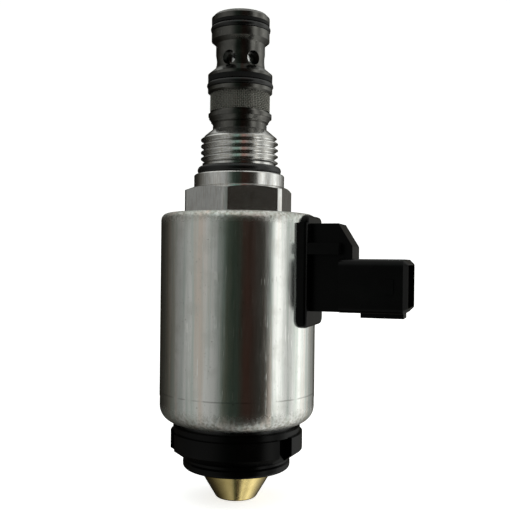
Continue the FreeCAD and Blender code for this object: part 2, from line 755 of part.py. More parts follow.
def make_armature():
    """The plunger with its two glide rings, the push pin above it and the vents along its side."""
    edge = "tube_inner - armature_gap"
    floor = f"{edge} - bush_depth"
    upper = "armature_top - bush_inset"
    lower = "armature_foot + bush_inset"
    body = turned("armature", [
        ("0", "armature_foot"),
        (f"{edge} - edge_break", "armature_foot"),
        (edge, "armature_foot + edge_break"),
        (edge, lower),
        (floor, lower),
        (floor, f"{lower} + bush_length"),
        (edge, f"{lower} + bush_length"),
        (edge, f"{upper} - bush_length"),
        (floor, f"{upper} - bush_length"),
        (floor, upper),
        (edge, upper),
        (edge, "armature_top - edge_break"),
        (f"{edge} - edge_break", "armature_top"),
        ("pin_radius + fit_gap", "armature_top"),
        ("pin_radius + fit_gap", "armature_top - pin_grip"),
        ("0", "armature_top - pin_grip"),
    ])
    slot = attach(body, "vent_outline", "XY_Plane", "armature_foot")
    vent_floor = f"{edge} - bush_depth - armature_vent_depth"
    draw_outline(slot, box_corners(vent_floor, "tube_radius",
                                   "0 - armature_vent_width / 2", "armature_vent_width / 2"))
    vent = pocket(body, "vent", slot, "armature_length", reverse=True)
    repeat_round(body, "vents", vent, slot, VENTS, "N_Axis")
    rings = []
    for name, foot in (("upper_bush", f"{upper} - bush_length"), ("lower_bush", lower)):
        disc = doc.addObject("Part::Cylinder", name + "_disc")
        bind(disc, "Radius", "tube_inner - running_gap")
        hole = doc.addObject("Part::Cylinder", name + "_hole")
        bind(hole, "Radius", f"{floor} + fit_gap")
        for cylinder in (disc, hole):
            bind(cylinder, "Height", "bush_length - 2 * fit_gap")
        ring = doc.addObject("Part::Cut", name)
        ring.Base = disc
        ring.Tool = hole
        bind(ring, "Placement.Base.z", f"{foot} + fit_gap")
        rings.append(ring)
    pair = doc.addObject("Part::Compound", "armature_bushes")
    pair.Label = "armature_bushes"
    pair.Links = rings
    SUBPARTS.append(pair)
    turned("push_pin", [
        ("0", "armature_top - pin_grip + fit_gap"),
        ("pin_radius", "armature_top - pin_grip + fit_gap"),
        ("pin_radius", "spool_foot - body_gap - edge_break"),
        ("pin_radius - edge_break", "spool_foot - body_gap"),
        ("0", "spool_foot - body_gap"),
    ])


def make_coil():
    """The drawn can, flux plates, bobbin, winding, potting and the coil's two weather seals."""
    can = turned("coil_can", [
        ("can_radius - can_lip_width", "can_top"),
        ("can_radius", "can_top"),
        ("can_radius", "can_top - can_step_drop"),
        ("can_radius - can_step", "can_top - can_step_drop"),
        ("can_radius - can_step", "can_bottom"),
        ("coil_bore", "can_bottom"),
        ("coil_bore", "can_bottom + can_floor"),
        ("can_inner", "can_bottom + can_floor"),
        ("can_inner", "can_top - can_lip"),
        ("can_radius - can_lip_width", "can_top - can_lip"),
    ])
    round_off(can, "top_round", "can_top_round", at_circle("can_radius", "can_top"))
    round_off(can, "inner_round", "can_inner_round", at_circle("can_inner", "can_bottom + can_floor"))
    round_off(can, "bottom_round", "can_bottom_round", at_circle("can_radius - can_step", "can_bottom"))
    recess = "coil_bore + coil_seal_width"
    revolve(can, "bottom_seal_recess", box_corners("tube_radius - fit_gap", recess, "can_bottom - fit_gap",
            "can_bottom + coil_seal_recess"), "PartDesign::Groove")
    window = attach(can, "window_outline", "YZ_Plane")
    draw_outline(window, box_corners("0 - window_half_width", "window_half_width",
                                     "can_top - window_drop - window_height", "can_top - window_drop"))
    pocket(can, "connector_window", window, "can_radius * 1.5", reverse=True)
    turned("top_flux_plate", [
        ("coil_bore", "top_plate_foot"),
        ("can_inner - fit_gap", "top_plate_foot"),
        ("can_inner - fit_gap", "can_top - can_lip - fit_gap"),
        ("can_radius - can_lip_width - fit_gap", "can_top - can_lip - fit_gap"),
        ("can_radius - can_lip_width - fit_gap", "can_top - fit_gap"),
        (recess, "can_top - fit_gap"),
        (recess, "can_top - coil_seal_recess"),
        ("coil_bore", "can_top - coil_seal_recess"),
    ])
    cut_ring("bottom_flux_plate", "coil_bore", "bottom_plate_radius",
             "bottom_plate_foot", "bottom_plate_thickness")
    inner = "coil_bore + bobbin_clearance"
    turned("bobbin", [
        (inner, "bobbin_foot"),
        ("bobbin_flange_radius", "bobbin_foot"),
        ("bobbin_flange_radius", "bobbin_foot + bobbin_flange"),
        (f"{inner} + bobbin_wall", "bobbin_foot + bobbin_flange"),
        (f"{inner} + bobbin_wall", "bobbin_top - bobbin_flange"),
        ("bobbin_flange_radius", "bobbin_top - bobbin_flange"),
        ("bobbin_flange_radius", "bobbin_top"),
        (inner, "bobbin_top"),
    ])
    low = "bobbin_foot + bobbin_flange + fit_gap"
    tall = "bobbin_top - bobbin_foot - 2 * bobbin_flange - 2 * fit_gap"
    cut_ring("winding", f"{inner} + bobbin_wall + fit_gap", "winding_radius", low, tall)
    cut_ring("coil_potting", "winding_radius + fit_gap", "can_inner - 4 * fit_gap", low, tall)
    o_ring("coil_bottom_seal", "coil_bore + swivel_gap * 2", "coil_seal_section",
           "can_bottom + coil_seal_recess - fit_gap - coil_seal_section / 2")
    o_ring("coil_top_seal", "coil_bore + swivel_gap * 2", "coil_seal_section",
           "can_top - coil_seal_recess + fit_gap + coil_seal_section / 2")


def make_connector():
    """The moulded housing: saddle on the can, web and roof behind a hollow shroud, nubs and key rib."""
    body = new_body("connector_housing")
    root = "saddle_face - can_wall"
    saddle = attach(body, "saddle_outline", "XZ_Plane")
    draw_outline(saddle, box_corners("can_inner - can_wall", "saddle_face", "saddle_bottom", "tower_top"))
    pad(body, "saddle", saddle, "2 * saddle_half_width", both_sides=True)
    round_off(body, "saddle_rounding", "saddle_round", side_corners("saddle_half_width", "saddle_bottom"))
    round_off(body, "saddle_edge", "saddle_edge_round", facing_edges("saddle_face", "tower_top", -1))
    brow = attach(body, "brow_outline", "XZ_Plane")
    draw_outline(brow, box_corners("can_inner - can_wall", "saddle_face",
                                   "tower_top - saddle_round", "saddle_top"))
    pad(body, "brow", brow, "2 * brow_half_width", both_sides=True)
    round_off(body, "brow_rounding", "saddle_round", side_corners("brow_half_width", "saddle_top"))
    round_off(body, "brow_edge", "saddle_edge_round", facing_edges("saddle_face", "tower_top", 1))
    web = attach(body, "web_outline", "XZ_Plane")
    draw_outline(web, [
        (root, "shroud_bottom"),
        ("tower_reach", "shroud_bottom"),
        ("tower_reach", "tower_top - tower_slope"),
        ("tower_head_reach", "tower_top"),
        (root, "tower_top"),
    ])
    pad(body, "web", web, "2 * tower_half_width", both_sides=True)
    roof = attach(body, "roof_outline", "XZ_Plane")
    draw_outline(roof, box_corners(root, "shroud_back", "roof_foot", "roof_top"))
    pad(body, "roof", roof, "2 * roof_half_width", both_sides=True)
    shroud = attach(body, "shroud_outline", "YZ_Plane", "shroud_back")
    draw_outline(shroud, box_corners("0 - shroud_width / 2", "shroud_width / 2",
                                     "shroud_bottom", "shroud_top"))
    pad(body, "shroud", shroud, "shroud_mouth - shroud_back")
    round_off(body, "shroud_rounding", "shroud_round", shroud_edges)
    lead = body.newObject("PartDesign::Chamfer", "mouth_edge")
    rounded = body.getObject("shroud_rounding")
    lead.Base = (rounded, pick_edges(rounded.Shape, facing_edges("shroud_mouth", "0", -1)))
    bind(lead, "Size", "mouth_chamfer")
    doc.recompute()
    mouth = attach(body, "mouth_outline", "YZ_Plane", "shroud_floor")
    draw_outline(mouth, box_corners("0 - shroud_width / 2 + shroud_wall", "shroud_width / 2 - shroud_wall",
                                    "shroud_bottom + shroud_wall", "shroud_top - shroud_wall"))
    pocket(body, "mouth", mouth, "shroud_mouth - shroud_floor + edge_break", reverse=True)
    around = attach(body, "can_outline", "XY_Plane", "saddle_bottom - edge_break")
    draw_circle(around, "can_radius + fit_gap")
    pocket(body, "can_clearance", around, "saddle_height + 2 * edge_break", reverse=True)
    neck = attach(body, "neck_outline", "XZ_Plane")
    draw_outline(neck, box_corners("can_inner + fit_gap * 2", "saddle_face",
                                   "can_top - window_drop - window_height + fit_gap * 2",
                                   "can_top - window_drop - fit_gap * 2"))
    pad(body, "neck", neck, "2 * window_half_width - 4 * fit_gap", both_sides=True)
    nub = attach(body, "nub_outline", "XZ_Plane")
    draw_outline(nub, box_corners("nub_centre - nub_length / 2", "nub_centre + nub_length / 2",
                                  "shroud_centre - nub_height / 2", "shroud_centre + nub_height / 2"))
    pad(body, "nubs", nub, "shroud_width + 2 * nub_rise", both_sides=True)
    hollow = attach(body, "hollow_outline", "XZ_Plane")
    draw_outline(hollow, box_corners("nub_centre - nub_length", "nub_centre + nub_length",
                                     "shroud_centre - nub_height", "shroud_centre + nub_height"))
    pocket(body, "hollow", hollow, "shroud_width - 2 * shroud_wall", both_sides=True)
    key = attach(body, "key_outline", "XZ_Plane")
    draw_outline(key, box_corners("key_start", "key_end",
                                  "shroud_bottom - key_height", "shroud_bottom + edge_break"))
    pad(body, "key_rib", key, "key_width", both_sides=True)
    slots = attach(body, "blade_slots", "YZ_Plane", "blade_root - can_wall")
    for side in ("-", "+"):
        middle = f"0 {side} blade_spacing / 2"
        draw_outline(slots, box_corners(f"{middle} - blade_width / 2 - fit_gap",
                                        f"{middle} + blade_width / 2 + fit_gap",
                                        "shroud_centre - blade_thickness / 2 - fit_gap",
                                        "shroud_centre + blade_thickness / 2 + fit_gap"))
    pocket(body, "blade_slot_pair", slots, "shroud_floor - blade_root + can_wall + edge_break", reverse=True)


def side_corners(half_width, height):
    """A test for the two corners at this height that run along X."""
    wanted_side = value(half_width)
    wanted_height = value(height)

    def chosen(edge):
        middle = edge.CenterOfMass
        return abs(abs(middle.y) - wanted_side) < 1e-3 and abs(middle.z - wanted_height) < 1e-3
    return chosen


def facing_edges(reach, height, side):
    """A test for the edges round an outward face, above this height (side 1) or below it (side -1)."""
    wanted_reach = value(reach)
    wanted_height = value(height)

    def chosen(edge):
        box = edge.BoundBox
        flat = abs(box.XMin - wanted_reach) < 1e-3 and abs(box.XMax - wanted_reach) < 1e-3
        return flat and (edge.CenterOfMass.z - wanted_height) * side > 1e-3
    return chosen


def shroud_edges(edge):
    """The shroud's four long edges."""
    middle = edge.CenterOfMass
    beside = abs(abs(middle.y) - value("shroud_width / 2")) < 1e-3
    level = abs(abs(middle.z - value("shroud_centre")) - value("shroud_height / 2")) < 1e-3
    return beside and level


def make_terminal_blades():
    """Two flat blades side by side, from the winding out into the shroud."""
    blades = []
    for name, side in (("near_blade", "-"), ("far_blade", "+")):
        blade = doc.addObject("Part::Box", name)
        bind(blade, "Length", "blade_tip - blade_root")
        bind(blade, "Width", "blade_width")
        bind(blade, "Height", "blade_thickness")
        bind(blade, "Placement.Base.x", "blade_root")
        bind(blade, "Placement.Base.y", f"0 {side} blade_spacing / 2 - blade_width / 2")
        bind(blade, "Placement.Base.z", "shroud_centre - blade_thickness / 2")
        blades.append(blade)
    pair = doc.addObject("Part::Compound", "terminal_blades")
    pair.Label = "terminal_blades"
    pair.Links = blades
    SUBPARTS.append(pair)


def make_nut_and_override():
    """The lobed coil nut with its washer, and the sprung cone button that it carries."""
    cut_ring("nut_washer", "stud_radius + swivel_gap * 3", "washer_radius", "washer_foot", "washer_thickness")
    nut = turned("coil_nut", [
        ("stud_radius + running_gap", "nut_top"),
        ("nut_rim_radius", "nut_top"),
        ("nut_rim_radius", "nut_top - nut_rim_height"),
        ("nut_radius", "nut_top - nut_rim_height"),
        ("nut_radius", "nut_top - nut_lobe_height"),
        ("nut_neck_radius + edge_break * 2", "lobe_foot"),
        ("nut_neck_radius", "lobe_foot"),
        ("nut_neck_radius", "disc_top"),
        ("nut_disc_radius", "disc_top - (nut_disc_radius - nut_neck_radius)"),
        ("nut_disc_radius", "nut_bottom"),
        ("retainer_radius + fit_gap", "nut_bottom"),
        ("retainer_radius + fit_gap", "retainer_top + fit_gap"),
        ("nut_cavity_radius", "retainer_top + fit_gap"),
        ("nut_cavity_radius", "nut_roof"),
        ("stud_radius + running_gap", "nut_roof"),
    ], clocking="nut_clocking")
    round_off(nut, "disc_round", "nut_disc_round", at_circle("nut_disc_radius", "nut_bottom"))
    notch = attach(nut, "notch_outline", "XY_Plane", "nut_top - nut_rim_height")
    draw_outline(notch, box_corners("notch_floor_radius", "nut_radius * 1.1",
                                    "0 - notch_width / 2", "notch_width / 2"))
    cut = pocket(nut, "notch", notch, "nut_lobe_height + nut_lobe_chamfer")
    repeat_round(nut, "notches", cut, notch, NUT_NOTCHES, "N_Axis")
    cut_ring("button_retainer", "button_radius + running_gap", "retainer_radius", "nut_bottom + fit_gap",
             "retainer_height - fit_gap")
    button = turned("override_button", [
        ("0", "button_end"),
        ("button_tip_radius", "button_end"),
        ("button_radius", "button_cone_top"),
        ("button_radius", "button_flange_foot"),
        ("button_flange", "button_flange_foot"),
        ("button_flange", "button_top"),
        ("override_pin_radius + fit_gap", "button_top"),
        ("override_pin_radius + fit_gap", "button_top - button_grip"),
        ("0", "button_top - button_grip"),
    ])
    round_off(button, "tip_round", "button_round", at_circle("button_tip_radius", "button_end"))
    turned("override_pin", [
        ("0", "button_top - button_grip + fit_gap"),
        ("override_pin_radius", "button_top - button_grip + fit_gap"),
        ("override_pin_radius", "armature_foot - body_gap - edge_break"),
        ("override_pin_radius - edge_break", "armature_foot - body_gap"),
        ("0", "armature_foot - body_gap"),
    ])


make_valve_cage()
make_cage_fittings()
make_adapter_body()
make_spool()
make_return_spring()
make_guide_tube()
make_armature()
make_coil()
make_connector()
make_terminal_blades()
make_nut_and_override()
doc.recompute()

for item in doc.Objects:
    if "Invalid" in item.State or "Error" in item.State:
        raise RuntimeError(f"{item.Label} did not recompute: {item.State}")
for item in SUBPARTS:
    if item.Shape.isNull() or not item.Shape.isValid():
        raise RuntimeError(item.Label + " has no valid shape")
for item in SUBPARTS:
    item.Shape.exportStep(f"parts/{item.Label}.step")
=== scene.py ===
import json
import math

import bpy
from mathutils import Matrix, Vector


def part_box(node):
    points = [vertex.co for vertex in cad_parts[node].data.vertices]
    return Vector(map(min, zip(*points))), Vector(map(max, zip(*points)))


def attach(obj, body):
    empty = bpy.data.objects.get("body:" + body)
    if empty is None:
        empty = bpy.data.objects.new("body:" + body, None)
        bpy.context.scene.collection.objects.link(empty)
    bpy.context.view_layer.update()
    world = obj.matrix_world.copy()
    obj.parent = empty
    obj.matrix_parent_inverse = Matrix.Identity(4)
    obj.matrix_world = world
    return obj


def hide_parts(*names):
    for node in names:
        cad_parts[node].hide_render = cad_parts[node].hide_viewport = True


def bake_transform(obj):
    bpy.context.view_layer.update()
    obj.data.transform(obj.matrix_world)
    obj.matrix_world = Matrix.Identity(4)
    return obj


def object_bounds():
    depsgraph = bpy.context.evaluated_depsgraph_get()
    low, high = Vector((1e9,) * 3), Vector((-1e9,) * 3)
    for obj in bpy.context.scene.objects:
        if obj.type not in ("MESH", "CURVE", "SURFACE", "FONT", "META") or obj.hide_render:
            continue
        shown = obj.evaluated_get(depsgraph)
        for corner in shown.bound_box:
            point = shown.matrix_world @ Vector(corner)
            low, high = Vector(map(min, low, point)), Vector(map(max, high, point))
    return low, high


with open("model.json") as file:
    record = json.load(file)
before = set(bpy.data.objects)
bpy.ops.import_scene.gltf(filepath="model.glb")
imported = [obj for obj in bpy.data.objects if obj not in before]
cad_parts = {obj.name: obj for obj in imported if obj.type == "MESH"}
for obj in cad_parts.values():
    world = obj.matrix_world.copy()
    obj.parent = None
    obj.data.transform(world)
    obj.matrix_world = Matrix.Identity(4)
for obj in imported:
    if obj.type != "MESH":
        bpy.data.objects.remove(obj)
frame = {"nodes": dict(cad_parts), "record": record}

CAD_BOX = [list(corner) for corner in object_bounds()]
MILLIMETRE = 0.001

# The camera stands at eye level beside the coil, turned from the row's -Y axis towards the connector.
CAMERA_TURN = math.radians(17.5)
CAMERA_DISTANCE = 0.219
CAMERA_ASIDE = 0.0048
CAMERA_HEIGHT = -0.0248
CAMERA_ROLL = math.radians(0.6)
CAMERA_LENS = 53.6
CAMERA_SHIFT_UP = 0.0137

SCREEN_WIRE = 0.20 * MILLIMETRE
SCREEN_PITCH = 0.52 * MILLIMETRE
SPRING_WIRE = 0.70 * MILLIMETRE
SPRING_PITCH = 1.45 * MILLIMETRE
SPRING_STEPS = 40
SPRING_SIDES = 12
BEVEL_FROM = math.radians(40)
PLASTIC_EDGE = 0.25 * MILLIMETRE
METAL_EDGE = 0.10 * MILLIMETRE
RUBBED_RING_UP = 8.6 * MILLIMETRE

# The studio round the object, as pairs of bearing and brightness there.
# A bearing is in degrees from the camera, positive to its right.
STUDIO = (
    (-180, 0.01), (-150, 0.015), (-126, 0.04), (-106, 0.15), (-89, 0.27), (-74, 0.40),
    (-60, 0.47), (-44, 0.44), (-33, 0.36), (-25, 0.20), (-16, 0.06), (-6, 0.035),
    (32, 0.025), (43, 0.04), (50, 0.40), (57, 1.40), (66, 1.22), (75, 0.60), (83, 0.54),
    (92, 1.05), (104, 1.45), (116, 0.98), (130, 0.50), (146, 0.20), (162, 0.05),
)
# The dark cards straight ahead are tinted, teal on the left and red on the right.
CARD_HUES = (
    (-30, (1.0, 1.0, 1.0)), (-12, (0.62, 1.0, 0.92)), (2, (0.62, 1.0, 0.92)),
    (9, (1.0, 0.52, 0.46)), (19, (1.0, 0.52, 0.46)), (32, (1.0, 1.0, 1.0)),
)
OVERHEAD = 0.85
WARM_SHADE = (1.0, 0.93, 0.76)
COOL_LIGHT = (0.985, 1.0, 0.965)
HUE_TURNS_COOL_BY = 0.25
OVERHEAD_STARTS = 0.35
OVERHEAD_FULL = 0.85

FLOOR_GAP = 0.2 * MILLIMETRE
FLOOR_HALF_WIDTH = 3
FLOOR_REACH = 1.2
FLOOR_BEND = 0.4
FLOOR_BEND_STEPS = 12
FLOOR_GLOW = 0.72

TOP_BOX_SIDE = 0.8
TOP_BOX_POWER = 1.4
TOP_BOX_PLACE = (0.10, -0.40, 1.1)
TOP_BOX_AIM = (0, 0, -0.02)


def maths_node(nodes, links, operation, first, second):
    """A Math node's output, from two inputs that are each a socket or a number."""
    node = nodes.new("ShaderNodeMath")
    node.operation = operation
    for socket, content in zip(node.inputs, (first, second)):
        if isinstance(content, bpy.types.NodeSocket):
            links.new(content, socket)
        else:
            socket.default_value = content
    return node.outputs[0]


class Finish:
    """A principled material that is built up from procedural layers in the row's own coordinates."""

    def __init__(self, name, colour, roughness, metallic=0.0):
        self.material = bpy.data.materials.new(name)
        self.material.use_nodes = True
        self.nodes = self.material.node_tree.nodes
        self.links = self.material.node_tree.links
        self.shader = self.nodes["Principled BSDF"]
        self.shader.inputs["Base Color"].default_value = (*colour, 1)
        self.shader.inputs["Roughness"].default_value = roughness
        self.shader.inputs["Metallic"].default_value = metallic
        self.colour = colour
        self.roughness = roughness
        self.place = self.add("ShaderNodeTexCoord").outputs["Object"]
        self.normal = None

    def add(self, kind, **inputs):
        node = self.nodes.new(kind)
        for name, content in inputs.items():
            self.feed(node.inputs[name.replace("_", " ")], content)
        return node

    def feed(self, socket, content):
        if isinstance(content, bpy.types.NodeSocket):
            self.links.new(content, socket)
        else:
            socket.default_value = content

    def maths(self, operation, first, second=0.0):
        return maths_node(self.nodes, self.links, operation, first, second)

    def stretched(self, stretch):
        """The place, scaled along each axis: large numbers make features narrow along that axis."""
        node = self.add("ShaderNodeMapping", Vector=self.place)
        node.inputs["Scale"].default_value = stretch
        return node.outputs[0]

    def noise(self, size, detail=3.0, stretch=(1, 1, 1)):
        """Cloudy noise whose features are about this many metres across."""
        node = self.add("ShaderNodeTexNoise", Vector=self.stretched(stretch))
        node.inputs["Scale"].default_value = 1 / size
        node.inputs["Detail"].default_value = detail
        return node.outputs[0]

    def lathe(self, size, detail=3.0):
        """Noise that runs in rings round Z, as a lathe tool leaves it on sides and faces alike."""
        parts = self.add("ShaderNodeSeparateXYZ", Vector=self.place)
        flat = self.add("ShaderNodeCombineXYZ", X=parts.outputs[0], Y=parts.outputs[1])
        length = self.nodes.new("ShaderNodeVectorMath")
        length.operation = "LENGTH"
        self.links.new(flat.outputs[0], length.inputs[0])
        along = self.maths("ADD", length.outputs["Value"], parts.outputs[2])
        node = self.nodes.new("ShaderNodeTexNoise")
        node.noise_dimensions = "1D"
        self.feed(node.inputs["W"], self.maths("MULTIPLY", along, 1 / size))
        node.inputs["Scale"].default_value = 1.0
        node.inputs["Detail"].default_value = detail
        return node.outputs[0]

    def between(self, source, start, end, low=0.0, high=1.0):
        """Source values from start to end, spread over low to high."""
        node = self.add("ShaderNodeMapRange", Value=source)
        node.inputs["From Min"].default_value = start
        node.inputs["From Max"].default_value = end
        node.inputs["To Min"].default_value = low
        node.inputs["To Max"].default_value = high
        return node.outputs[0]

    def scratches(self, size, lean, width=0.03):
        """Short straight lines along the stretch's long axis, where stretched noise crosses its middle."""
        lines = self.maths("ABSOLUTE", self.maths("SUBTRACT", self.noise(size, 0.0, lean), 0.5))
        thin = self.between(lines, 0.0, width, 1.0, 0.0)
        broken = self.between(self.noise(size * 2.5, 2.0), 0.55, 0.66)
        return self.maths("MULTIPLY", thin, broken)

    def tint(self, mask, colour):
        """Mix the base colour towards another where the mask is high."""
        mix = self.nodes.new("ShaderNodeMix")
        mix.data_type = "RGBA"
        self.feed(mix.inputs["Factor"], mask)
        base = self.shader.inputs["Base Color"]
        if base.links:
            self.links.new(base.links[0].from_socket, mix.inputs[6])
        else:
            mix.inputs[6].default_value = (*self.colour, 1)
        mix.inputs[7].default_value = (*colour, 1)
        self.links.new(mix.outputs[2], base)

    def gloss(self, mask, low, high):
        """Roughness runs from low to high with the mask."""
        self.links.new(self.between(mask, 0.0, 1.0, low, high), self.shader.inputs["Roughness"])

    def bump(self, source, height, strength=1.0):
        node = self.add("ShaderNodeBump", Height=source)
        node.inputs["Distance"].default_value = height
        node.inputs["Strength"].default_value = strength
        if self.normal:
            self.links.new(self.normal, node.inputs["Normal"])
        self.normal = node.outputs[0]
        self.links.new(self.normal, self.shader.inputs["Normal"])


def zinc_can():
    """Bright zinc on drawn steel: streaks, hairline scratches, a rubbed ring and a worn rim and foot."""
    finish = Finish("zinc_can", (0.80, 0.80, 0.78), 0.2, 1.0)
    height = finish.add("ShaderNodeSeparateXYZ", Vector=finish.place).outputs[2]
    streak = finish.noise(1.6 * MILLIMETRE, 4.0, (1, 1, 0.035))
    finish.tint(finish.between(streak, 0.42, 0.66, 0.0, 0.85), (0.56, 0.62, 0.58))
    warm = finish.noise(2.6 * MILLIMETRE, 3.0, (1, 1, 0.03))
    finish.tint(finish.between(warm, 0.52, 0.70, 0.0, 0.75), (0.76, 0.64, 0.56))
    cloud = finish.noise(5 * MILLIMETRE, 4.0)
    finish.tint(finish.between(cloud, 0.48, 0.72, 0.0, 0.55), (0.60, 0.60, 0.56))
    foot = finish.between(height, CAN_FOOT + 2.6 * MILLIMETRE, CAN_FOOT + 6.0 * MILLIMETRE, 1.0, 0.0)
    rim = finish.between(height, CAN_TOP - 3.4 * MILLIMETRE, CAN_TOP - 1.0 * MILLIMETRE, 0.0, 1.0)
    worn = finish.maths("MAXIMUM", foot, rim)
    speck = finish.between(finish.noise(0.8 * MILLIMETRE, 5.0), 0.42, 0.66)
    finish.tint(finish.maths("MULTIPLY", speck, worn), (0.44, 0.43, 0.38))
    from_ring = finish.maths("ABSOLUTE", finish.maths("SUBTRACT", height, CAN_FOOT + RUBBED_RING_UP))
    ring = finish.between(from_ring, 0.05 * MILLIMETRE, 0.30 * MILLIMETRE, 1.0, 0.0)
    ring = finish.maths("MULTIPLY", ring, finish.between(finish.noise(6 * MILLIMETRE, 3.0), 0.46, 0.56))
    finish.tint(finish.maths("MULTIPLY", ring, 0.8), (0.42, 0.42, 0.40))
    pit = finish.between(finish.noise(0.45 * MILLIMETRE, 2.0), 0.69, 0.73)
    finish.tint(pit, (0.34, 0.33, 0.30))
    marks = finish.scratches(1.6 * MILLIMETRE, (1, 1, 0.03))
    finish.tint(finish.maths("MULTIPLY", marks, 0.7), (0.95, 0.95, 0.92))
    grain = finish.noise(0.9 * MILLIMETRE, 3.0, (1, 1, 0.10))
    uneven = finish.maths("ADD", finish.maths("MULTIPLY", grain, 0.35), finish.maths("MULTIPLY", worn, 0.5))
    uneven = finish.maths("ADD", uneven, finish.maths("MULTIPLY", cloud, 0.2))
    finish.gloss(uneven, 0.08, 0.50)
    finish.bump(streak, 0.016 * MILLIMETRE)
    finish.bump(grain, 0.006 * MILLIMETRE)
    finish.bump(finish.maths("MULTIPLY", speck, worn), 0.05 * MILLIMETRE)
    finish.bump(marks, 0.008 * MILLIMETRE)
    return finish.material


def turned_zinc(name="zinc_steel", colour=(0.72, 0.72, 0.71)):
    """Zinc over turned steel, with fine lathe rings."""
    finish = Finish(name, colour, 0.3, 1.0)
    rings = finish.lathe(0.12 * MILLIMETRE)
    cloud = finish.noise(3 * MILLIMETRE, 3.0)
    finish.tint(finish.between(cloud, 0.4, 0.8, 0.0, 0.6), tuple(channel * 0.72 for channel in colour))
    finish.tint(finish.scratches(0.8 * MILLIMETRE, (1, 1, 0.08)), (0.9, 0.9, 0.88))
    brushed = finish.noise(0.5 * MILLIMETRE, 4.0, (1, 1, 0.12))
    finish.tint(finish.between(brushed, 0.45, 0.70, 0.0, 0.6), (0.52, 0.48, 0.43))
    finish.gloss(rings, 0.08, 0.26)
    finish.bump(rings, 0.005 * MILLIMETRE)
    finish.bump(brushed, 0.014 * MILLIMETRE)
    return finish.material


def hardened_steel():
    """Black-oxide steel: dark, satin, with ring marks and slight rubbing."""
    finish = Finish("hardened_steel", (0.105, 0.103, 0.096), 0.24, 1.0)
    rings = finish.lathe(0.16 * MILLIMETRE)
    cloud = finish.noise(2.2 * MILLIMETRE, 4.0)
    finish.tint(finish.between(cloud, 0.45, 0.75, 0.0, 0.7), (0.165, 0.160, 0.148))
    finish.tint(finish.scratches(0.6 * MILLIMETRE, (1, 1, 0.15)), (0.30, 0.29, 0.27))
    uneven = finish.maths("ADD", finish.maths("MULTIPLY", rings, 0.5), finish.maths("MULTIPLY", cloud, 0.5))
    finish.gloss(uneven, 0.10, 0.34)
    finish.bump(rings, 0.006 * MILLIMETRE)
    return finish.material


def plain_metal(name, colour, low, high):
    """A machined metal with fine rings and a little cloudiness."""
    finish = Finish(name, colour, (low + high) / 2, 1.0)
    rings = finish.lathe(0.1 * MILLIMETRE)
    cloud = finish.noise(2.5 * MILLIMETRE, 3.0)
    finish.tint(finish.between(cloud, 0.45, 0.8, 0.0, 0.6), tuple(channel * 0.7 for channel in colour))
    finish.gloss(rings, low, high)
    finish.bump(rings, 0.008 * MILLIMETRE)
    return finish.material


def rubber():
    """Moulded nitrile rubber, nearly black, with a faint bloom."""
    finish = Finish("rubber", (0.004, 0.004, 0.004), 0.42)
    finish.shader.inputs["Specular IOR Level"].default_value = 0.42
    bloom = finish.noise(1.6 * MILLIMETRE, 4.0)
    finish.tint(finish.between(bloom, 0.5, 0.8, 0.0, 0.6), (0.010, 0.010, 0.009))
    finish.gloss(bloom, 0.16, 0.42)
    finish.bump(finish.noise(0.12 * MILLIMETRE, 2.0), 0.006 * MILLIMETRE)
    return finish.material


def moulded(name, colour, low, high, grain_size=0.22 * MILLIMETRE, relief=0.012 * MILLIMETRE):
    """Moulded plastic with a fine spark-eroded grain and slightly uneven gloss."""
    finish = Finish(name, colour, (low + high) / 2)
    finish.shader.inputs["Specular IOR Level"].default_value = 0.10
    grain = finish.noise(grain_size, 3.0)
    uneven = finish.noise(5 * MILLIMETRE, 3.0)
    paler = tuple(channel * 1.8 + 0.001 for channel in colour)
    finish.tint(finish.between(uneven, 0.45, 0.8, 0.0, 0.7), paler)
    finish.gloss(uneven, low, high)
    finish.bump(grain, relief)
    return finish.material


def brass():
    """Turned brass with fine rings and a few darker spots."""
    finish = Finish("brass", (0.79, 0.63, 0.27), 0.20, 1.0)
    rings = finish.lathe(0.14 * MILLIMETRE)
    cloud = finish.between(finish.noise(2.4 * MILLIMETRE, 3.0), 0.35, 0.75, 0.0, 0.6)
    finish.tint(cloud, (0.60, 0.46, 0.17))
    finish.gloss(rings, 0.10, 0.28)
    finish.bump(rings, 0.005 * MILLIMETRE)
    return finish.material


def copper_wire():
    """Enamelled copper: each layer's turns show as close rings."""
    finish = Finish("copper", (0.55, 0.24, 0.11), 0.3, 0.9)
    rings = finish.lathe(0.35 * MILLIMETRE, 1.0)
    finish.gloss(rings, 0.2, 0.4)
    finish.tint(rings, (0.34, 0.13, 0.06))
    finish.bump(rings, 0.05 * MILLIMETRE)
    return finish.material


def woven_wire():
    """Stainless wire, dulled by handling and oil."""
    finish = Finish("mesh", (0.30, 0.295, 0.265), 0.30, 1.0)
    stain = finish.noise(1.3 * MILLIMETRE, 4.0)
    finish.tint(finish.between(stain, 0.5, 0.8, 0.0, 0.5), (0.18, 0.175, 0.15))
    finish.gloss(stain, 0.18, 0.36)
    finish.bump(finish.noise(0.05 * MILLIMETRE, 2.0), 0.004 * MILLIMETRE)
    return finish.material


CAN_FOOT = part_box("coil_can")[0][2]
CAN_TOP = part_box("coil_can")[1][2]

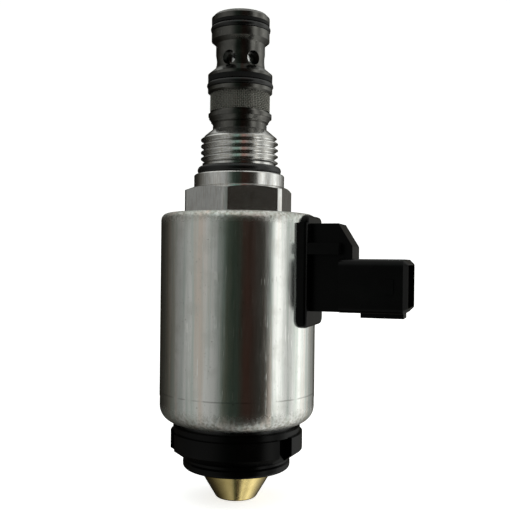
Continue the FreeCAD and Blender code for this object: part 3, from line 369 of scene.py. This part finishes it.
MATERIALS = {
    "hardened_steel": hardened_steel(),
    "zinc_steel": turned_zinc(),
    "zinc_can": zinc_can(),
    "ground_steel": plain_metal("ground_steel", (0.60, 0.60, 0.60), 0.14, 0.30),
    "spring_steel": plain_metal("spring_steel", (0.30, 0.30, 0.30), 0.25, 0.45),
    "soft_iron": plain_metal("soft_iron", (0.50, 0.50, 0.50), 0.25, 0.45),
    "stainless": plain_metal("stainless", (0.62, 0.62, 0.62), 0.18, 0.36),
    "bronze": plain_metal("bronze", (0.55, 0.38, 0.20), 0.25, 0.45),
    "tinned": plain_metal("tinned", (0.72, 0.72, 0.70), 0.20, 0.38),
    "brass": brass(),
    "copper": copper_wire(),
    "rubber": rubber(),
    "mesh": woven_wire(),
    "backup": moulded("backup", (0.012, 0.012, 0.012), 0.35, 0.55),
    "black_nylon": moulded("black_nylon", (0.002, 0.002, 0.002), 0.16, 0.32),
    "bobbin_nylon": moulded("bobbin_nylon", (0.07, 0.07, 0.07), 0.4, 0.6),
    "potting": moulded("potting", (0.03, 0.03, 0.035), 0.25, 0.5),
}


def paint_nodes():
    """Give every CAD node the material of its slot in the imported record."""
    for part in frame["record"]["subparts"]:
        mesh = frame["nodes"][part["node"]].data
        mesh.materials.clear()
        mesh.materials.append(MATERIALS[part["material_slot"]])


def floor_material():
    """Pale paper, lifted a little by its own light so that it stays even."""
    finish = Finish("floor", (0.93, 0.93, 0.93), 0.8)
    fibre = finish.noise(2 * MILLIMETRE, 3.0)
    finish.tint(finish.between(fibre, 0.3, 0.7, 0.0, 0.3), (0.90, 0.90, 0.90))
    finish.shader.inputs["Emission Color"].default_value = (1, 1, 1, 1)
    finish.shader.inputs["Emission Strength"].default_value = FLOOR_GLOW
    return finish.material


def make_floor():
    """A pale floor that curves up into the backdrop behind the object."""
    low = CAD_BOX[0][2] - FLOOR_GAP
    line = [(-FLOOR_REACH, low)]
    for step in range(FLOOR_BEND_STEPS + 1):
        angle = math.radians(90 * step / FLOOR_BEND_STEPS)
        line.append((FLOOR_REACH + FLOOR_BEND * math.sin(angle), low + FLOOR_BEND * (1 - math.cos(angle))))
    line.append((FLOOR_REACH + FLOOR_BEND, low + FLOOR_REACH))
    turn = Matrix.Rotation(CAMERA_TURN, 4, "Z")
    points = []
    for depth, height in line:
        for side in (-FLOOR_HALF_WIDTH, FLOOR_HALF_WIDTH):
            points.append(turn @ Vector((side, depth, height)))
    faces = [(2 * row, 2 * row + 1, 2 * row + 3, 2 * row + 2) for row in range(len(line) - 1)]
    mesh = bpy.data.meshes.new("floor")
    mesh.from_pydata(points, [], faces)
    mesh.shade_smooth()
    mesh.materials.append(floor_material())
    floor = bpy.data.objects.new("floor", mesh)
    bpy.context.collection.objects.link(floor)
    floor.visible_glossy = False
    floor.visible_diffuse = False


def make_studio():
    """White behind the object; round it, soft boxes and dark cards that the metal picks up."""
    world = bpy.data.worlds.new("studio")
    world.use_nodes = True
    nodes = world.node_tree.nodes
    links = world.node_tree.links
    place = nodes.new("ShaderNodeTexCoord")
    turn = nodes.new("ShaderNodeMapping")
    turn.inputs["Rotation"].default_value = (0, 0, -CAMERA_TURN)
    links.new(place.outputs["Generated"], turn.inputs["Vector"])
    parts = nodes.new("ShaderNodeSeparateXYZ")
    links.new(turn.outputs[0], parts.inputs[0])

    def maths(operation, first, second=0.0):
        return maths_node(nodes, links, operation, first, second)

    def ramp_round(stops):
        """A colour for each bearing, from pairs of bearing in degrees and colour."""
        ramp = nodes.new("ShaderNodeValToRGB")
        links.new(along, ramp.inputs[0])
        elements = ramp.color_ramp.elements
        while len(elements) < len(stops):
            elements.new(1.0)
        for element, (degrees, colour) in zip(elements, stops):
            element.position = degrees / 360 + 0.5
            element.color = (*colour, 1)
        return ramp.outputs[0]

    bearing = maths("ARCTAN2", parts.outputs[0], maths("MULTIPLY", parts.outputs[1], -1.0))
    along = maths("ADD", maths("DIVIDE", bearing, 2 * math.pi), 0.5)
    brightest = max(level for _, level in STUDIO)
    greys = [(degrees, (level / brightest,) * 3) for degrees, level in STUDIO]
    around = maths("MULTIPLY", ramp_round(greys), brightest)
    lift = nodes.new("ShaderNodeMapRange")
    lift.interpolation_type = "SMOOTHSTEP"
    links.new(parts.outputs[2], lift.inputs["Value"])
    lift.inputs["From Min"].default_value = OVERHEAD_STARTS
    lift.inputs["From Max"].default_value = OVERHEAD_FULL
    share = lift.outputs[0]
    level = maths("MULTIPLY", around, maths("SUBTRACT", 1.0, share))
    level = maths("ADD", level, maths("MULTIPLY", share, OVERHEAD))
    hue = nodes.new("ShaderNodeMix")
    hue.data_type = "RGBA"
    links.new(maths("MULTIPLY", level, 1 / HUE_TURNS_COOL_BY), hue.inputs["Factor"])
    hue.inputs[6].default_value = (*WARM_SHADE, 1)
    hue.inputs[7].default_value = (*COOL_LIGHT, 1)
    tinted = nodes.new("ShaderNodeVectorMath")
    tinted.operation = "SCALE"
    links.new(hue.outputs[2], tinted.inputs[0])
    links.new(level, tinted.inputs["Scale"])
    carded = nodes.new("ShaderNodeVectorMath")
    carded.operation = "MULTIPLY"
    links.new(tinted.outputs[0], carded.inputs[0])
    links.new(ramp_round(CARD_HUES), carded.inputs[1])
    backdrop = nodes.new("ShaderNodeMix")
    backdrop.data_type = "RGBA"
    links.new(nodes.new("ShaderNodeLightPath").outputs["Is Camera Ray"], backdrop.inputs["Factor"])
    links.new(carded.outputs[0], backdrop.inputs[6])
    backdrop.inputs[7].default_value = (1, 1, 1, 1)
    links.new(backdrop.outputs[2], nodes["Background"].inputs["Color"])
    nodes["Background"].inputs["Strength"].default_value = 1.0
    bpy.context.scene.world = world
    bpy.context.scene.view_settings.view_transform = "Standard"


def make_lights():
    """One soft box above and behind the camera, which only lays a gentle shadow on the floor."""
    data = bpy.data.lights.new("top_box", "AREA")
    data.shape = "RECTANGLE"
    data.size = TOP_BOX_SIDE
    data.size_y = TOP_BOX_SIDE
    data.energy = TOP_BOX_POWER
    light = bpy.data.objects.new("top_box", data)
    light.location = TOP_BOX_PLACE
    aim = Vector(TOP_BOX_AIM) - light.location
    light.rotation_euler = aim.to_track_quat("-Z", "Y").to_euler()
    light.visible_glossy = False
    bpy.context.collection.objects.link(light)


def make_camera():
    data = bpy.data.cameras.new("camera")
    data.lens = CAMERA_LENS
    data.sensor_width = 36.0
    data.shift_y = CAMERA_SHIFT_UP
    data.clip_start = 0.01
    data.clip_end = 20
    camera = bpy.data.objects.new("camera", data)
    right = Vector((math.cos(CAMERA_TURN), math.sin(CAMERA_TURN), 0))
    back = Vector((math.sin(CAMERA_TURN), -math.cos(CAMERA_TURN), 0))
    up = Vector((0, 0, 1))
    facing = Matrix((right, up, back)).transposed().to_4x4()
    facing = facing @ Matrix.Rotation(CAMERA_ROLL, 4, "Z")
    place = back * CAMERA_DISTANCE + right * CAMERA_ASIDE + up * CAMERA_HEIGHT
    camera.matrix_world = Matrix.Translation(place) @ facing
    bpy.context.collection.objects.link(camera)
    bpy.context.scene.camera = camera


def tube_along(points, closed, radius, sides):
    """Vertices and faces of a round wire along a list of points, capped at its ends unless it is closed."""
    vertices = []
    faces = []
    count = len(points)
    for index, point in enumerate(points):
        ahead = points[(index + 1) % count] if closed or index + 1 < count else point
        behind = points[index - 1] if closed or index else point
        along = (ahead - behind).normalized()
        if abs(along.z) < 0.9:
            across = along.cross(Vector((0, 0, 1))).normalized()
        else:
            outward = Vector((point.x, point.y, 0)).normalized()
            across = along.cross(outward).normalized()
        up = along.cross(across)
        for side in range(sides):
            angle = 2 * math.pi * side / sides
            vertices.append(point + (across * math.cos(angle) + up * math.sin(angle)) * radius)
    for index in range(count if closed else count - 1):
        after = (index + 1) % count
        this_ring = index * sides
        next_ring = after * sides
        for side in range(sides):
            beside = (side + 1) % sides
            faces.append((this_ring + side, this_ring + beside, next_ring + beside, next_ring + side))
    if not closed:
        faces.append(tuple(reversed(range(sides))))
        faces.append(tuple(range((count - 1) * sides, count * sides)))
    return vertices, faces


def make_woven_screen():
    """The filter screen as real wire cloth: upright wires and hoops that pass over and under each other."""
    low, high = (Vector(corner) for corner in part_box("filter_screen"))
    outer = (high.x - low.x) / 2
    middle = outer - SCREEN_WIRE
    wave = SCREEN_WIRE / 2
    uprights = 2 * round(math.pi * middle / SCREEN_PITCH)
    height = high.z - low.z - SCREEN_WIRE
    hoops = 2 * round(height / SCREEN_PITCH / 2) + 1
    sides = 6
    vertices = []
    faces = []

    def lay(points, closed):
        wire_vertices, wire_faces = tube_along(points, closed, SCREEN_WIRE / 2, sides)
        start = len(vertices)
        vertices.extend(wire_vertices)
        faces.extend(tuple(start + index for index in face) for face in wire_faces)

    for number in range(uprights):
        angle = 2 * math.pi * number / uprights
        phase = number % 2
        steps = 2 * (hoops - 1)
        points = []
        for step in range(steps + 1):
            radius = middle + wave * math.cos(math.pi * (step / 2 + phase))
            rise = low.z + SCREEN_WIRE / 2 + height * step / steps
            points.append(Vector((radius * math.cos(angle), radius * math.sin(angle), rise)))
        lay(points, closed=False)
    for number in range(hoops):
        rise = low.z + SCREEN_WIRE / 2 + height * number / (hoops - 1)
        steps = 2 * uprights
        points = []
        for step in range(steps):
            angle = 2 * math.pi * step / steps
            radius = middle - wave * math.cos(math.pi * (step / 2 + number))
            points.append(Vector((radius * math.cos(angle), radius * math.sin(angle), rise)))
        lay(points, closed=True)
    mesh = bpy.data.meshes.new("woven_screen")
    mesh.from_pydata(vertices, [], faces)
    mesh.shade_smooth()
    mesh.materials.append(MATERIALS["mesh"])
    screen = bpy.data.objects.new("woven_screen", mesh)
    bpy.context.collection.objects.link(screen)
    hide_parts("filter_screen")
    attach(screen, "cartridge")


def make_return_spring():
    """The return spring as a coil, with its top end on the seat ring."""
    low, high = (Vector(corner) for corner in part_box("return_spring"))
    radius = (high.x - low.x) / 2 - SPRING_WIRE / 2
    foot = low.z + SPRING_WIRE / 2
    height = high.z - low.z - SPRING_WIRE
    turns = height / SPRING_PITCH
    steps = round(turns * SPRING_STEPS)
    points = []
    for step in range(steps + 1):
        angle = 2 * math.pi * turns * step / steps
        rise = foot + height * step / steps
        points.append(Vector((radius * math.cos(angle), radius * math.sin(angle), rise)))
    vertices, faces = tube_along(points, closed=False, radius=SPRING_WIRE / 2, sides=SPRING_SIDES)
    mesh = bpy.data.meshes.new("return_spring_coil")
    mesh.from_pydata(vertices, [], faces)
    mesh.shade_smooth()
    mesh.materials.append(MATERIALS["spring_steel"])
    spring = bpy.data.objects.new("return_spring_coil", mesh)
    bpy.context.collection.objects.link(spring)
    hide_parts("return_spring")
    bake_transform(spring)


def soften_edges():
    """Small real bevels on the moulded and turned pieces that are seen."""
    for name, width in (("connector_housing", PLASTIC_EDGE), ("coil_nut", PLASTIC_EDGE),
                        ("override_button", METAL_EDGE), ("screen_retaining_ring", METAL_EDGE)):
        bevel = frame["nodes"][name].modifiers.new("edge", "BEVEL")
        bevel.width = width
        bevel.segments = 2
        bevel.limit_method = "ANGLE"
        bevel.angle_limit = BEVEL_FROM
        bevel.harden_normals = True


paint_nodes()
make_woven_screen()
make_return_spring()
soften_edges()
make_floor()
make_studio()
make_lights()
make_camera()
